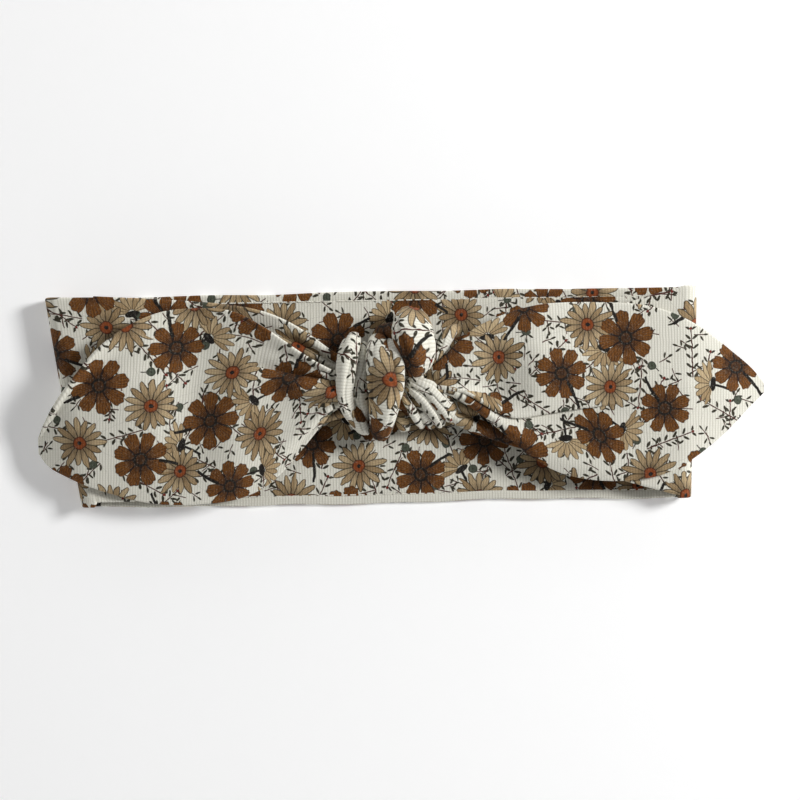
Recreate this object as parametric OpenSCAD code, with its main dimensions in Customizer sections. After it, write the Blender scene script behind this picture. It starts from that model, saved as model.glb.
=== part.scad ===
// Knotted headband, lying flat on a table with its knot and tails on top.
// One sewn strip of double rib knit makes the whole thing. Its middle is the back of the loop,
// it folds over at both ends, runs back above itself as two arms, is tied once at the front,
// and its two leaf-shaped ends are the tails.
// X runs along the flat loop, Y across the strip, Z up from the table.

/* [Strip] */
// Width of the sewn strip
strip_w = 64; // [50:1:80]
// Thickness of one ply of rib knit
ply_t = 0.8; // [0.6:0.1:1]
// Clear height inside the flat loop, under the arms
loop_gap = 5.2; // [4.6:0.1:8]

/* [Loop] */
// Left fold line, from the middle of the model
fold_left = 92; // [85:1:94]
// Half the difference between the loop's two sides, which sets the knot off its middle
knot_shift = 5; // [3:1:6]
// Length of the flat panel at the centre of the back
centre_len = 30; // [26:1:34]
// How far the left end slants from the top edge to the bottom edge
slant_left = 10; // [0:1:12]
// How far the right end slants
slant_right = 3; // [0:1:6]

/* [Arms] */
// Width of an arm where it enters the knot
arm_neck_w = 20; // [14:1:26]
// Extra thickness of the gathered cloth at the knot
gather_t = 2; // [1:0.5:3]

/* [Knot] */
// Centre of the knot across the strip
knot_y = 6; // [0:1:10]
// Radius of the packed cloth inside the knot
core_r = 15; // [12:0.5:16]
// Top of the knot above the table
knot_top = 21; // [18:0.5:25]

/* [Tails] */
// Reach of each tail from the middle of the model
tail_reach = 109; // [104:1:115]
// Height of a tail where it leaves the knot
tail_root_t = 4.6; // [3:0.2:6]
// Length over which the gathers flatten out
gather_len = 40; // [25:5:60]
// Air between a tail and the arm that it lies on
tail_air = 0.8; // [0.8:0.1:1.5]

/* [Stitches] */
// Length of one stitch
stitch_len = 1.8; // [1:0.1:2.5]
// Distance from one stitch to the next
stitch_pitch = 2.6; // [2:0.1:4]
// Thickness of the thread
thread_d = 0.4; // [0.3:0.05:0.5]
// Distance of the stitches from the edge of the strip
stitch_inset = 2.6; // [1.5:0.1:4]

/* [Hidden] */

ivory = "ivory";
pale = "wheat";
tan = "burlywood";
brown = "peru";
thread = "saddlebrown";

$fn = 64;
steps = 16;                            // points along one curved edge
bend_step = 15;                        // degrees between points round an end fold
part_gap = 0.15;                       // half the space between two bodies
strip_t = 2 * ply_t;
arm_z = strip_t + loop_gap;            // underside of the arms
fold_mid = (strip_t + arm_z) / 2;      // height of the middle of both end folds
fold_r = (arm_z + strip_t) / 2;        // outside radius of an end fold
loop_mid = -knot_shift;
hinge_left = loop_mid - centre_len / 2;
hinge_right = loop_mid + centre_len / 2;
side_len = fold_left + hinge_left;     // length of every side of the opened loop
fold_right = hinge_right + side_len;
arm_top = arm_z + strip_t;
arm_slope = gather_t / side_len;
neck_high = knot_y + 0.4 * arm_neck_w;
neck_low = knot_y - 0.6 * arm_neck_w;
arm_left_x = fold_left - 2 * part_gap;
arm_right_x = fold_right - 2 * part_gap;
tail_left_x = hinge_left - 2 * part_gap;
tail_right_x = 19;
rest_air = 0.6;                        // between the knot and the back of the loop
left_reach = 6;                        // from the fold line to the bend, at the middle of the strip
right_reach = 2;

// Height of the upper face of the arm at a distance d from where it meets the knot.
function arm_high(d) = arm_top + gather_t - arm_slope * d;

// One point on the smooth curve that leaves p towards q and reaches s from r.
function curve(p, q, r, s, t) =
  pow(1 - t, 3) * p + 3 * t * pow(1 - t, 2) * q + 3 * t * t * (1 - t) * r + pow(t, 3) * s;

// The points of that curve.
function edge(p, q, r, s) = [for (i = [0:steps]) curve(p, q, r, s, i / steps)];

// A flat outline given a side view: the side view is pulled along Y and cut to the outline.
module ply(outline, side) {
  intersection() {
    translate([0, strip_w, 0]) rotate([90, 0, 0]) linear_extrude(2 * strip_w) polygon(side);
    translate([0, 0, -1]) linear_extrude(2 * knot_top) polygon(outline);
  }
}

// A rounded lump of packed cloth, turned about its own upright axis.
module lump(r, low, high) {
  mid = (low + high) / 2;
  half = (high - low) / 2;
  rotate_extrude() polygon([for (a = [-90:15:90])
    [r * pow(cos(a), 0.7), mid + half * sin(a)]]);
}

// A strand of cloth that arches over the knot from one side to the other.
module strand(radius, wide, thick, sweep) {
  rotate([0, 90, 0]) rotate([0, 0, 180 - sweep / 2]) rotate_extrude(angle = sweep)
    polygon([for (a = [0:20:340]) [radius + thick / 2 * sin(a), wide / 2 * cos(a)]]);
}

// ---- back of the loop ----

module back_panel(from, to, low) {
  translate([from, -strip_w / 2, low]) cube([to - from, strip_w, ply_t]);
}

module back_centre_outer() {
  color(pale) back_panel(hinge_left + part_gap, hinge_right - part_gap, 0);
}

module back_centre_lining() {
  color(ivory) back_panel(hinge_left + part_gap, hinge_right - part_gap, ply_t);
}

module back_left_outer() {
  color(pale) back_panel(-fold_left, hinge_left - part_gap, 0);
}

module back_left_lining() {
  color(ivory) back_panel(-fold_left, hinge_left - part_gap, ply_t);
}

module back_right_outer() {
  color(pale) back_panel(hinge_right + part_gap, fold_right, 0);
}

module back_right_lining() {
  color(ivory) back_panel(hinge_right + part_gap, fold_right, ply_t);
}

// ---- end folds ----
// Each is one U-bend, pulled along the slanted end and cut off at the edges of the strip.

// Side view of the bend of one ply, with its end towards +X.
function bend_side(outside, inside) = concat(
  [[-strip_w, outside]],
  [for (a = [90:-bend_step:-90]) outside * [cos(a), sin(a)]],
  [[-strip_w, -outside], [-strip_w, -inside]],
  [for (a = [-90:bend_step:90]) inside * [cos(a), sin(a)]],
  [[-strip_w, inside]]
);

// One ply of the fold. Its middle ends at reach from the fold line.
module fold_ply(reach, slant, outside, inside) {
  turn = atan(slant / strip_w);
  intersection() {
    translate([0, -strip_w / 2, -1]) cube([strip_w, strip_w, 2 * fold_mid + 2]);
    translate([reach, 0, fold_mid]) rotate([0, 0, -turn]) rotate([90, 0, 0])
      linear_extrude(2 * strip_w, center = true) polygon(bend_side(outside, inside));
  }
}

module left_fold(outside, inside) {
  translate([-fold_left, 0, 0]) mirror([1, 0, 0])
    fold_ply(left_reach, slant_left, outside, inside);
}

module right_fold(outside, inside) {
  translate([fold_right, 0, 0]) fold_ply(right_reach, slant_right, outside, inside);
}

module left_fold_outer() {
  color(tan) left_fold(fold_r, fold_r - ply_t);
}

module left_fold_lining() {
  color(ivory) left_fold(fold_r - ply_t, fold_r - strip_t);
}

module right_fold_outer() {
  color(tan) right_fold(fold_r, fold_r - ply_t);
}

module right_fold_lining() {
  color(ivory) right_fold(fold_r - ply_t, fold_r - strip_t);
}

// ---- arms ----
// Each narrows from the full strip at its fold to a gathered neck at the knot, and thickens there.

left_arm_outline = concat(
  edge([-arm_left_x, strip_w / 2], [-60, strip_w / 2], [-40, 24],
    [hinge_left - part_gap, neck_high]),
  edge([hinge_left - part_gap, neck_low], [-40, -16], [-65, -27],
    [-arm_left_x, 2 - strip_w / 2])
);

right_arm_outline = concat(
  edge([arm_right_x, strip_w / 2 - 1], [60, 24], [35, 20],
    [hinge_right + part_gap, neck_high]),
  edge([hinge_right + part_gap, neck_low], [35, -13], [60, -24],
    [arm_right_x, 1 - strip_w / 2])
);

// Side view of a layer that lies between two shares of the arm's thickness.
function arm_side(near, far, low, high) = [
  [near, arm_z + low * (arm_high(0) - arm_z)], [near, arm_z + high * (arm_high(0) - arm_z)],
  [far, arm_z + high * (arm_high(side_len) - arm_z)],
  [far, arm_z + low * (arm_high(side_len) - arm_z)]
];

module left_arm_outer() {
  color(brown) ply(left_arm_outline, arm_side(hinge_left, -fold_left, 0.5, 1));
}

module left_arm_lining() {
  color(ivory) ply(left_arm_outline, arm_side(hinge_left, -fold_left, 0, 0.5));
}

module right_arm_outer() {
  color(brown) ply(right_arm_outline, arm_side(hinge_right, fold_right, 0.5, 1));
}

module right_arm_lining() {
  color(ivory) ply(right_arm_outline, arm_side(hinge_right, fold_right, 0, 0.5));
}

// ---- knot ----

// The packed middle: a lower lump between the arms and a wider one above them.
module knot_core() {
  color(tan) union() {
    translate([loop_mid, knot_y - 1, 0])
      lump(centre_len / 2 - 1, strip_t + rest_air, arm_high(0) + 2);
    translate([-0.5, knot_y, 0]) lump(core_r, arm_high(0) + 0.4, knot_top - 2.4);
  }
}

// The strand on top, which runs down the middle of the knot.
module knot_centre_wrap() {
  wrap_low = 8;
  color(brown) translate([-6, knot_y - 2, wrap_low]) rotate([0, 0, -4])
    strand(knot_top - wrap_low - 1.5, 12, 3, 184);
}

// The narrower strand beside it, on the left.
module knot_left_wrap() {
  wrap_low = 7;
  color(ivory) translate([-14.8, knot_y - 3, wrap_low]) rotate([0, 0, 4])
    strand(knot_top - wrap_low - 4.6, 7, 4, 178);
}

// The puffed loop of cloth at the upper right.
module knot_upper_bight() {
  color(brown) translate([3.5, knot_y + 10, 0]) lump(9, arm_high(0) + 0.8, knot_top - 1.5);
}

// Three pleats that spread out of the knot at the lower right.
module knot_lower_fan() {
  pleat_t = 2;
  color(ivory) for (i = [0:2])
    translate([4, knot_y - 3, arm_high(0) + 1 + 1.6 * i]) rotate([0, 0, -16 - 24 * i])
      linear_extrude(pleat_t) polygon([[-4, -2], [11.5, -4.5], [13.8, 0], [11.5, 4.5], [-4, 2]]);
}

// ---- tails ----

left_root = [tail_left_x, 9];
left_tip = [-tail_reach, -9];
left_root_low = [tail_left_x, -4];
left_tail_outline = concat(
  edge(left_root, [-45, 29], [-80, 44], left_tip),
  edge(left_tip, [-tail_reach + 1, -30], [-47, -48], left_root_low)
);

right_root = [tail_right_x, 17];
right_tip = [tail_reach, 0];
right_root_low = [tail_right_x, -4];
right_tail_outline = concat(
  edge(right_root, [40, 30], [80, 38], right_tip),
  edge(right_tip, [85, -34], [45, -36], right_root_low)
);

// Underside of a tail at a distance d from where its arm meets the knot.
function tail_low(d) = arm_high(d) + tail_air;

// Side view of a layer between two shares of the tail's thickness. away is -1 for the left tail.
function tail_side(root, hinge, away, low, high) = let (
  d_root = abs(root - hinge),
  d_flat = d_root + gather_len,
  d_tip = abs(away * tail_reach - hinge),
  thick = [tail_root_t, strip_t, strip_t],
  far = [d_root, d_flat, d_tip]
) concat(
  [for (i = [0:2]) [hinge + away * far[i], tail_low(far[i]) + low * thick[i]]],
  [for (i = [2:-1:0]) [hinge + away * far[i], tail_low(far[i]) + high * thick[i]]]
);

module left_tail_outer() {
  color(tan) ply(left_tail_outline, tail_side(tail_left_x, hinge_left, -1, 0.5, 1));
}

module left_tail_lining() {
  color(ivory) ply(left_tail_outline, tail_side(tail_left_x, hinge_left, -1, 0, 0.5));
}

module right_tail_outer() {
  color(tan) ply(right_tail_outline, tail_side(tail_right_x, hinge_right, 1, 0.5, 1));
}

module right_tail_lining() {
  color(ivory) ply(right_tail_outline, tail_side(tail_right_x, hinge_right, 1, 0, 0.5));
}

// The gathered neck between the knot's packed middle and the left tail.
module left_tail_neck() {
  low = tail_low(0);
  color(pale) translate([0, 0, low]) linear_extrude(tail_root_t) polygon([
    [hinge_left + 2 * part_gap, left_root[1]], [-8, knot_y + 1],
    [-8, knot_y - 6], [hinge_left + 2 * part_gap, left_root_low[1]]
  ]);
}

// The one between it and the right tail, which leaves the knot in a wider spread.
module right_tail_neck() {
  low = tail_low(tail_right_x - hinge_right);
  color(pale) translate([0, 0, low]) linear_extrude(tail_root_t) polygon([
    [tail_right_x - 2 * part_gap, right_root_low[1]], [8, knot_y - 5],
    [8, knot_y + 5], [tail_right_x - 2 * part_gap, right_root[1]]
  ]);
}

// ---- stitches ----
// Two rows, one along each edge of the back. Every stitch is half sunk in the lining.

module stitch_rows(from, to) {
  count = floor((to - from - 2 * part_gap) / stitch_pitch);
  start = (from + to) / 2 - (count - 1) * stitch_pitch / 2;
  for (side = [-1, 1], i = [0:count - 1])
    translate([start + i * stitch_pitch, side * (strip_w / 2 - stitch_inset), strip_t])
      rotate([0, 90, 0]) cylinder(d = thread_d, h = stitch_len, center = true, $fn = 24);
}

module back_centre_stitches() {
  color(thread) stitch_rows(hinge_left, hinge_right);
}

module back_left_stitches() {
  color(thread) stitch_rows(-fold_left, hinge_left);
}

module back_right_stitches() {
  color(thread) stitch_rows(hinge_right, fold_right);
}

back_centre_outer();
back_centre_lining();
back_left_outer();
back_left_lining();
back_right_outer();
back_right_lining();
left_fold_outer();
left_fold_lining();
right_fold_outer();
right_fold_lining();
left_arm_outer();
left_arm_lining();
right_arm_outer();
right_arm_lining();
knot_core();
knot_centre_wrap();
knot_left_wrap();
knot_upper_bight();
knot_lower_fan();
left_tail_neck();
right_tail_neck();
left_tail_outer();
left_tail_lining();
right_tail_outer();
right_tail_lining();
back_centre_stitches();
back_left_stitches();
back_right_stitches();
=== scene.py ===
# %% [markdown]
# # A knotted headband
# The real thing is one long strip of double rib knit. Its middle is the back of a flat loop,
# it turns over at both ends, comes back above itself as two gathered arms, is tied once, and
# ends in two leaf-shaped tails.

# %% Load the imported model
import math

import bmesh
import bpy
import numpy as np
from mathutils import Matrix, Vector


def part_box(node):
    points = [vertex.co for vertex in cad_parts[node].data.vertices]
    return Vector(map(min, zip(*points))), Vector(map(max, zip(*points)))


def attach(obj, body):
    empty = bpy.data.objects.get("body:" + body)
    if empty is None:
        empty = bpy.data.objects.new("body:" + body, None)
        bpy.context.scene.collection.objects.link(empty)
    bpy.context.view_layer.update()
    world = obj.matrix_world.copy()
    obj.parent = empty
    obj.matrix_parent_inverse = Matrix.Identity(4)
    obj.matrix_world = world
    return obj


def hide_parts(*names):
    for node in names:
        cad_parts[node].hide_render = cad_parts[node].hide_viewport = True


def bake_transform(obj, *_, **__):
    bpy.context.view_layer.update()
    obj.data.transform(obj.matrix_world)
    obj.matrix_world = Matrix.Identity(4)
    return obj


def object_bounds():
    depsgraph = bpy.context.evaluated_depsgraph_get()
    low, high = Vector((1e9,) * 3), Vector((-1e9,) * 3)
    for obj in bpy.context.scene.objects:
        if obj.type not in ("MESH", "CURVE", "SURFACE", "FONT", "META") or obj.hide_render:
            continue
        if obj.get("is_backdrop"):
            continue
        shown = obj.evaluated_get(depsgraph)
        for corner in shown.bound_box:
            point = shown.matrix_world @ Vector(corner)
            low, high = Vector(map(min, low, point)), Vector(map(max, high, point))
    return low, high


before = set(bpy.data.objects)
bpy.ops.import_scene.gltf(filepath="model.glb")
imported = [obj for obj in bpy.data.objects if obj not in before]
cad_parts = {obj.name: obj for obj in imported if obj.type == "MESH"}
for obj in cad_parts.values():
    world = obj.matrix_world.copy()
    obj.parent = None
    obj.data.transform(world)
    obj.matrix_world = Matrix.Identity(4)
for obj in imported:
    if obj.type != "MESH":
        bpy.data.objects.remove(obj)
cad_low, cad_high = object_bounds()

MM = 0.001

# %% [markdown]
# ## Sizes from the model
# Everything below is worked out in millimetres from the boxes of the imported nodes, so the
# cloth follows the model if the model changes. A ply is a little thinner than its node, which
# leaves the hair of air between two layers that makes a seam readable.

# %% Sizes and places


def node_box(node):
    """A node's lowest and highest corners, in millimetres."""
    low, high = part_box(node)
    return np.array(low) / MM, np.array(high) / MM


back_low, back_high = node_box("back_centre_lining")
half_w = back_high[1]
hinge_l = round(back_low[0])
hinge_r = round(back_high[0])
fold_l = node_box("back_left_lining")[0][0]
fold_r = node_box("back_right_lining")[1][0]
arm_under = node_box("left_arm_lining")[0][2]
loop_mid = (hinge_l + hinge_r) / 2
PLY = 0.68
PLY_GAP = 0.04
ply_mid = (PLY + PLY_GAP) / 2
strip_t = 2 * PLY + PLY_GAP
back_z = strip_t / 2
arm_z = arm_under + strip_t / 2 + 0.1
bend_r = (arm_z - back_z) / 2
bend_z = (arm_z + back_z) / 2
print(f"strip {2 * half_w:.0f} mm wide, folds at {fold_l:.0f} and {fold_r:.0f} mm")

# %% [markdown]
# ## Three small tools for shaping cloth
# A smooth step fades one shape into the next, a spline runs through a few chosen values, and a
# slow wave keeps a sewn edge from looking ruled. Blender has curves of its own, but plain
# functions can be read at any place on the cloth, which is all that the outlines need.

# %% Curves


def fade(low, high, x):
    """0 below low, 1 above high, and smooth in between."""
    t = np.clip((np.asarray(x, float) - low) / (high - low), 0, 1)
    return t * t * (3 - 2 * t)


def through(places, values, at):
    """A smooth line through the given values. At each of them it takes the mean of the slopes
    on its two sides."""
    places, values = np.array(places, float), np.array(values, float)
    at = np.asarray(at, float)
    slopes = np.diff(values, axis=0) / np.diff(places).reshape((-1,) + (1,) * (values.ndim - 1))
    tangents = np.concatenate([slopes[:1], (slopes[1:] + slopes[:-1]) / 2, slopes[-1:]])
    i = np.clip(np.searchsorted(places, at) - 1, 0, len(places) - 2)
    span = places[i + 1] - places[i]
    t = np.clip((at - places[i]) / span, 0, 1)
    shape = t.shape + (1,) * (values.ndim - 1)
    t, span = t.reshape(shape), span.reshape(shape)
    return (
        (2 * t**3 - 3 * t**2 + 1) * values[i]
        + (t**3 - 2 * t**2 + t) * span * tangents[i]
        + (3 * t**2 - 2 * t**3) * values[i + 1]
        + (t**3 - t**2) * span * tangents[i + 1]
    )


def waver(x, seed, size):
    """A slow uneven wave, the same each run, about size high."""
    r = np.random.default_rng(seed)
    total = np.zeros_like(np.asarray(x, float))
    for i in range(1, 5):
        total += np.sin(x * r.uniform(0.6, 1.4) * i / 18 + r.uniform(0, 6.3)) / i
    return total * size / 1.6


print("a fade at a quarter, a half and three quarters:", fade(0, 1, np.array([0.25, 0.5, 0.75])))

# %% [markdown]
# ## From a middle surface to a ply
# A ply is drawn first as a grid of points with no thickness, together with the place of each
# point on the flat cloth. `ply` gives that grid its thickness, rounds its two long edges and
# closes its ends. The flat places become the UV map, in centimetres of cloth, so the ribs and
# the print follow every fold as they do on the real knit.

# %% Plies
# Where the points round a rim lie, as shares of the quarter turn down or up from its middle.
RIM = [-0.5, 0.0, 0.5]


def unit(v):
    """Vectors of length 1."""
    return v / np.maximum(np.linalg.norm(v, axis=-1, keepdims=True), 1e-9)


def facing(grid):
    """The normals of a grid of points, on its upper side."""
    along = np.gradient(grid, axis=0)
    across = np.gradient(grid, axis=1)
    normal = unit(np.cross(along, across))
    return normal * np.sign(normal[..., 2].sum() or 1)


def build(name, rings, flat):
    """A closed mesh from rings of points, with a UV map of the flat cloth."""
    rows, count = rings.shape[:2]
    index = np.arange(rows * count).reshape(rows, count)
    turn = np.roll(index, -1, axis=1)
    quads = np.stack([index[:-1], turn[:-1], turn[1:], index[1:]], axis=-1)
    faces = quads.reshape(-1, 4).tolist()
    half = count // 2
    for row in (index[0].tolist(), index[-1].tolist()):
        faces.append([row[0], row[1], row[-1]])
        faces.append([row[half - 1], row[half], row[half + 1]])
        for i in range(1, half - 1):
            faces.append([row[i], row[i + 1], row[count - i - 1], row[count - i]])
    mesh = bpy.data.meshes.new(name)
    mesh.from_pydata((rings.reshape(-1, 3) * MM).tolist(), [], faces)
    form = bmesh.new()
    form.from_mesh(mesh)
    bmesh.ops.recalc_face_normals(form, faces=form.faces)
    form.to_mesh(mesh)
    form.free()
    uv = mesh.uv_layers.new(name="cloth")
    corners = np.empty(len(mesh.loops), np.int32)
    mesh.loops.foreach_get("vertex_index", corners)
    places = flat.reshape(-1, 2)[corners] / 10
    uv.data.foreach_set("uv", places.astype(np.float32).ravel())
    mesh.shade_smooth()
    ends = set(index[0].tolist()) | set(index[-1].tolist())
    for edge in mesh.edges:
        edge.use_edge_sharp = edge.vertices[0] in ends and edge.vertices[1] in ends
    piece = bpy.data.objects.new(name, mesh)
    bpy.context.scene.collection.objects.link(piece)
    return piece


cut_size = {}


def measure_cut(flat):
    """The width, length and area of the flat cloth, in metres."""
    a, b = flat[1:, 1:] - flat[:-1, :-1], flat[1:, :-1] - flat[:-1, 1:]
    area = np.abs(a[..., 0] * b[..., 1] - a[..., 1] * b[..., 0]).sum() / 2
    length, width = np.ptp(flat[..., 0]), np.ptp(flat[..., 1])
    return width * MM, length * MM, min(area, width * length) * MM * MM


def ply(name, grid, flat):
    """One ply of knit round a grid of points."""
    cut_size[name] = measure_cut(flat)
    normal = facing(grid)
    across = np.gradient(grid, axis=1)
    half_ply = PLY / 2
    sides = [grid + half_ply * normal]
    flats = [flat]
    for edge, sign in ((-1, 1), (0, -1)):
        out = unit(across[:, edge]) * sign
        step = flat[:, edge] - flat[:, edge - sign]
        step = step / np.maximum(np.linalg.norm(step, axis=-1, keepdims=True), 1e-9)
        rim = []
        rim_flat = []
        for turn in (RIM if edge == 0 else RIM[::-1]):
            angle = turn * math.pi / 2
            bulge = math.cos(angle) * out + math.sin(angle) * normal[:, edge]
            rim.append(grid[:, edge] + half_ply * bulge)
            rim_flat.append(flat[:, edge] + half_ply * (1 - abs(turn)) * step)
        sides.append(np.stack(rim, axis=1))
        flats.append(np.stack(rim_flat, axis=1))
        if edge == -1:
            sides.append((grid - half_ply * normal)[:, ::-1])
            flats.append(flat[:, ::-1])
    rings = np.concatenate(sides, axis=1)
    flat_rings = np.concatenate(flats, axis=1)
    # A ring starts at the outermost point of a rim, so that the end caps pair up from there.
    shift = len(RIM) // 2 + 1
    rings = np.roll(rings, shift, axis=1)
    flat_rings = np.roll(flat_rings, shift, axis=1)
    return build(name, rings, flat_rings)


print(f"a ply is {PLY} mm thick, and a strip of two is {strip_t:.2f} mm")

# %% [markdown]
# ## The back of the loop
# The back is the full strip lying flat. Its outer ply is a little wider than the lining: both
# of its edges roll over to the inner side and are stitched down there, which leaves the fine
# line that runs just inside each edge. Two flat boxes would be quicker, but their cut edges
# would show. So the outer ply's cross section is a shallow tray with rolled rims, and the
# lining fits between the rims.

# %% The rolled cross section
ROLL = 2.5
LINING_GAP = 0.25
ROW_STEP = 1.1
roll_r = ply_mid
z_in = back_z + ply_mid
z_out = back_z - ply_mid


def tray_section():
    """The outer ply's section: its places (across, height) and its flat distance across."""
    side = half_w - roll_r - PLY / 2
    lip = np.linspace(half_w - ROLL, side, 4)[:-1]
    turn = np.linspace(90, -90, 7)
    arc_y = side + roll_r * np.cos(np.radians(turn))
    arc_z = back_z + roll_r * np.sin(np.radians(turn))
    floor_y = np.linspace(side, 0, 27)[1:]
    y = np.concatenate([lip, arc_y, floor_y])
    z = np.concatenate([np.full(len(lip), z_in), arc_z, np.full(len(floor_y), z_out)])
    y = np.concatenate([y, -y[-2::-1]])
    z = np.concatenate([z, z[-2::-1]])
    flat = np.concatenate([[0], np.cumsum(np.hypot(np.diff(y), np.diff(z)))])
    flat = flat[len(flat) // 2] - flat
    return y[::-1], z[::-1], flat[::-1]


def lining_section():
    """The lining's section, in the same three parts."""
    y = np.linspace(-half_w + ROLL + LINING_GAP, half_w - ROLL - LINING_GAP, 50)
    return y, np.full(len(y), z_in), y


def soft(x, y):
    """How far the resting cloth stands off the table, in millimetres."""
    ripple = np.sin(x / 11 + y / 23) + np.sin(x / 17 - y / 13 + 1.3) + np.sin(x / 29 + 0.4)
    return 0.10 * (ripple + 2.4)


def uneven(x, y):
    """Edges of sewn knit are never ruled straight."""
    high = waver(x, 3, 0.35)
    low = waver(x, 8, 0.45)
    return y + np.where(y > 0, high, low) * np.abs(y) / half_w


def back_grid(x_from, x_to, section):
    """A section drawn out along the back, with its flat places."""
    y, z, flat = section
    x = np.linspace(x_from, x_to, int(abs(x_to - x_from) / ROW_STEP) + 2)
    xx, yy = np.meshgrid(x, y, indexing="ij")
    grid = np.stack([xx, uneven(xx, yy), z + soft(xx, yy)], axis=-1)
    places = np.stack([xx - loop_mid, np.broadcast_to(flat, xx.shape)], axis=-1)
    return grid, places


TRAY, INNER = tray_section(), lining_section()
# The lining is cut from another stretch of the knit, so its print falls elsewhere.
LINING_SHIFT = np.array([37.0, 331.0])
cloth = {}
for side, x_from in (("left", fold_l), ("right", fold_r)):
    grid, places = back_grid(x_from, loop_mid, TRAY)
    cloth[f"back_{side}_outer_ply"] = ply(f"back_{side}_outer_ply", grid, places)
    grid, places = back_grid(x_from, loop_mid, INNER)
    name = f"back_{side}_lining_ply"
    cloth[name] = ply(name, grid, places + LINING_SHIFT)
print("back plies:", len(cloth))

# %% [markdown]
# ## The end folds
# Each end is one soft U-bend. The left one is not square to the strip, so its straight flaps
# are longer at one edge than at the other. Where the cloth turns over a slanted line, its
# flat place is its mirror image in that line, plus the length that goes round the bend.

# %% U-bends
SLANT = {"left": 10.0, "right": 3.0}
SHEAR = 0.4
ARM_EDGES = {"left": (-half_w + 2, half_w), "right": (-half_w + 1, half_w - 1)}
line_x = {"left": fold_l, "right": fold_r}
away = {"left": -1, "right": 1}
outer_x = {side: node_box(f"{side}_fold_outer")[0 if side == "left" else 1][0] for side in away}
reach = {side: abs(outer_x[side] - line_x[side]) - bend_r - strip_t / 2 - SLANT[side] / 2
         for side in away}


def bend_line(side, y):
    """How far past the fold line the cloth lies flat before it bends, at a place y across."""
    return reach[side] + SLANT[side] * y / (2 * half_w)


def fold_start(side):
    """The flat distance from the middle of the back to the fold line."""
    return abs(line_x[side] - loop_mid)


def turned(side, y):
    """The flat distance at the fold line again, once the cloth has gone out and come back. Knit
    shears as it turns, so only part of the slant is left in it."""
    slant = SHEAR * SLANT[side] * y / (2 * half_w)
    return fold_start(side) + 2 * (reach[side] + slant) + math.pi * bend_r


def top_soft(x, y):
    """The gentle waviness of the cloth on top of the loop."""
    return 0.3 * (np.sin(x / 13 + y / 17 + 1) + np.sin(x / 9 - y / 19))


def fold_grid(side, section):
    """A section carried out along its flap, round the bend and back again above itself."""
    y, z, flat = section
    inward = z - back_z
    out = bend_line(side, y)
    low, high = ARM_EDGES[side]
    narrow = (low - high) / (2 * half_w) * (half_w - y) + high - y
    rows, flats = [], []

    def x_at(p):
        return line_x[side] + away[side] * p

    def add(p, across, height, u, v):
        rows.append(np.stack(np.broadcast_arrays(x_at(p), across, height), axis=-1))
        flats.append(np.stack(np.broadcast_arrays(away[side] * u, v), axis=-1))

    for f in np.linspace(0, 1, 12):
        add(f * out, y, z + soft(x_at(f * out), y), fold_start(side) + f * out, flat)
    for turn in np.linspace(-90, 90, 17)[1:]:
        c, s = math.cos(math.radians(turn)), math.sin(math.radians(turn))
        p = out + (bend_r - inward) * c
        share = (turn + 90) / 180
        lift = (1 - share) * soft(x_at(p), y) + share * top_soft(x_at(p), y)
        start = fold_start(side) + out
        u = start * (1 - share) + (turned(side, y) - out) * share
        add(p, y, bend_z + (bend_r - inward) * s + lift, u, flat)
    for f in np.linspace(1, 0, 12)[1:]:
        settle = fade(1, 0, f)
        add(f * out, y + narrow * settle, arm_z - inward + top_soft(x_at(f * out), y),
            turned(side, y) - f * out, flat + narrow * settle)
    grid = np.stack(rows)
    grid[..., 1] = uneven(grid[..., 0], grid[..., 1])
    return grid, np.stack(flats)


for side in away:
    for name, section, shift in (("outer", TRAY, 0), ("lining", INNER, LINING_SHIFT)):
        name = f"{side}_fold_{name}_ply"
        grid, places = fold_grid(side, section)
        cloth[name] = ply(name, grid, places + shift)
print("with the folds:", len(cloth))

# %% [markdown]
# ## Sheets drawn from guide lines
# The arms and the tails are the same two-ply strip, gathered. Pleats like these could come from
# a simulation of the tied strip, but each fold has its own place here, so they are drawn, as a
# pattern cutter would: each guide is one line that runs the length of the piece, along an edge,
# the top of a ridge or the bottom of a crease, and the cloth is a smooth skin over the guides.
# Where two guides swap places, the skin folds over itself. A guide's points are its distance
# from the knot, its place across and its height above what the cloth rests on.

# %% A skin over guide lines
BASE = {"left": hinge_l, "right": hinge_r}
GATHER_REACH = 15.0
GATHER_HEIGHT = 0.45
GATHER_DRIFT = 0.05
TIP = 12
TUCK_DEPTH = 3.4
TUCK = (-7, 2.5)


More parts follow.
